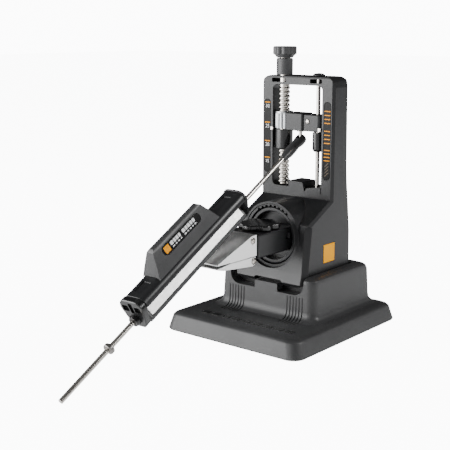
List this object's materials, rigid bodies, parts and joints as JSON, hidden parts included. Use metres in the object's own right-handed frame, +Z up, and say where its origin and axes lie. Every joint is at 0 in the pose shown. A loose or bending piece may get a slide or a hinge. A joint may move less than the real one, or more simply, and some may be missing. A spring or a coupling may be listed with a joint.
{
  "type": "guided rod honing guide",
  "caption": "Guided-rod sharpener: weighted base, lift-out tower with lead-screw carriage, ball-jointed rod, three-sided abrasive holder and flip-over blade clamp.",
  "frame": {"origin": "centre of the base pad's underside, where the guide rests on the bench", "axes": "+Z up, -Y towards the user and the blade, +X to the user's right"},
  "size_m": [0.118, 0.2789, 0.2012],
  "materials": {
    "satin_black": "satin",
    "black_plastic": "fine texture",
    "rubber": "matte",
    "steel": "polished",
    "aluminium": "brushed",
    "abrasive": "fine diamond grit",
    "orange": "printed tile"
  },
  "bodies": {
    "base": {"base_body": "black_plastic", "base_pad": "rubber", "ballast_plate": "steel", "base_screw_1": "steel", "base_screw_2": "steel", "base_screw_3": "steel", "base_screw_4": "steel"},
    "tower": {"tower_frame": "satin_black", "scale_left": "black_plastic", "scale_right": "black_plastic", "badge_left": "orange", "badge_right": "orange", "guide_rod": "steel", "guide_rod_cap": "black_plastic", "detent_ring": "satin_black"},
    "lead_screw": {"lead_screw": "steel", "knob_stem": "black_plastic", "adjust_knob": "black_plastic"},
    "carriage": {"carriage_block": "satin_black", "release_nut": "aluminium", "carriage_sleeve_left": "black_plastic", "guide_bushing": "steel", "carriage_sleeve_right": "black_plastic", "pointer_left": "steel", "pointer_right": "steel", "block_screw": "steel"},
    "ball_stud": {"ball_stud": "steel"},
    "rod": {"ball_liner_rear": "black_plastic", "ball_liner_front": "black_plastic", "socket_housing": "black_plastic", "guide_bar": "steel", "stop_ring": "steel"},
    "holder": {"holder_core": "black_plastic", "abrasive_plate_right": "abrasive", "abrasive_plate_left": "abrasive", "abrasive_plate_bottom": "abrasive", "holder_shell": "black_plastic", "holder_end_upper": "black_plastic", "holder_end_lower": "black_plastic", "holder_grip": "black_plastic", "grip_label_left": "black_plastic", "grip_label_right": "black_plastic"},
    "clamp": {"clamp_drum": "satin_black", "clamp_bar": "black_plastic", "jaw_upper": "aluminium", "jaw_screw_upper_left": "steel", "jaw_screw_upper_right": "steel"},
    "jaw_lower": {"jaw_lower": "aluminium", "jaw_screw_lower_left": "steel", "jaw_screw_lower_right": "steel"},
    "clamp_knob": {"clamp_knob": "black_plastic", "clamp_screw": "steel"}
  },
  "joints": [
    {"name": "tower_lift", "type": "slide", "parent": "base", "child": "tower", "axis": [0, 0, 1], "range_m": [0, 0.05]},
    {"name": "carriage_height", "type": "slide", "parent": "tower", "child": "carriage", "axis": [0, 0, 1], "range_m": [-0.0214, 0.0171]},
    {"name": "adjust_knob_turn", "type": "hinge", "parent": "tower", "child": "lead_screw", "pos_m": [-0.0148, 0.0195, 0.15], "axis": [0, 0, 1], "range_deg": [-2410, 1930]},
    {"name": "rod_swing", "type": "hinge", "parent": "carriage", "child": "ball_stud", "pos_m": [0, 0.0195, 0.1343], "axis": [0, 0, 1], "range_deg": [0, 26]},
    {"name": "rod_pitch", "type": "hinge", "parent": "ball_stud", "child": "rod", "pos_m": [0, 0.0195, 0.1343], "axis": [-1, 0, 0], "range_deg": [-8, 9]},
    {"name": "holder_slide", "type": "slide", "parent": "rod", "child": "holder", "axis": [0, -0.8746, -0.4848], "range_m": [-0.04, 0.018]},
    {"name": "clamp_flip", "type": "hinge", "parent": "tower", "child": "clamp", "pos_m": [0, -0.0135, 0.0688], "axis": [0, 1, 0], "range_deg": [0, 180]},
    {"name": "jaw_open", "type": "hinge", "parent": "clamp", "child": "jaw_lower", "pos_m": [0, -0.051, 0.06], "axis": [1, 0, 0], "range_deg": [0, 8]},
    {"name": "clamp_knob_turn", "type": "hinge", "parent": "clamp", "child": "clamp_knob", "pos_m": [0, -0.0293, 0.079], "axis": [0, 0, 1], "range_deg": [0, 330]}
  ],
  "couplings": [
    {"joint": "adjust_knob_turn", "follows": "carriage_height", "rad_per_m": 1963.5},
    {"joint": "rod_pitch", "follows": "carriage_height", "rad_per_m": -6.8},
    {"joint": "rod_swing", "follows": "clamp_flip", "ratio": 0.14},
    {"joint": "clamp_knob_turn", "follows": "jaw_open", "ratio": 41}
  ]
}
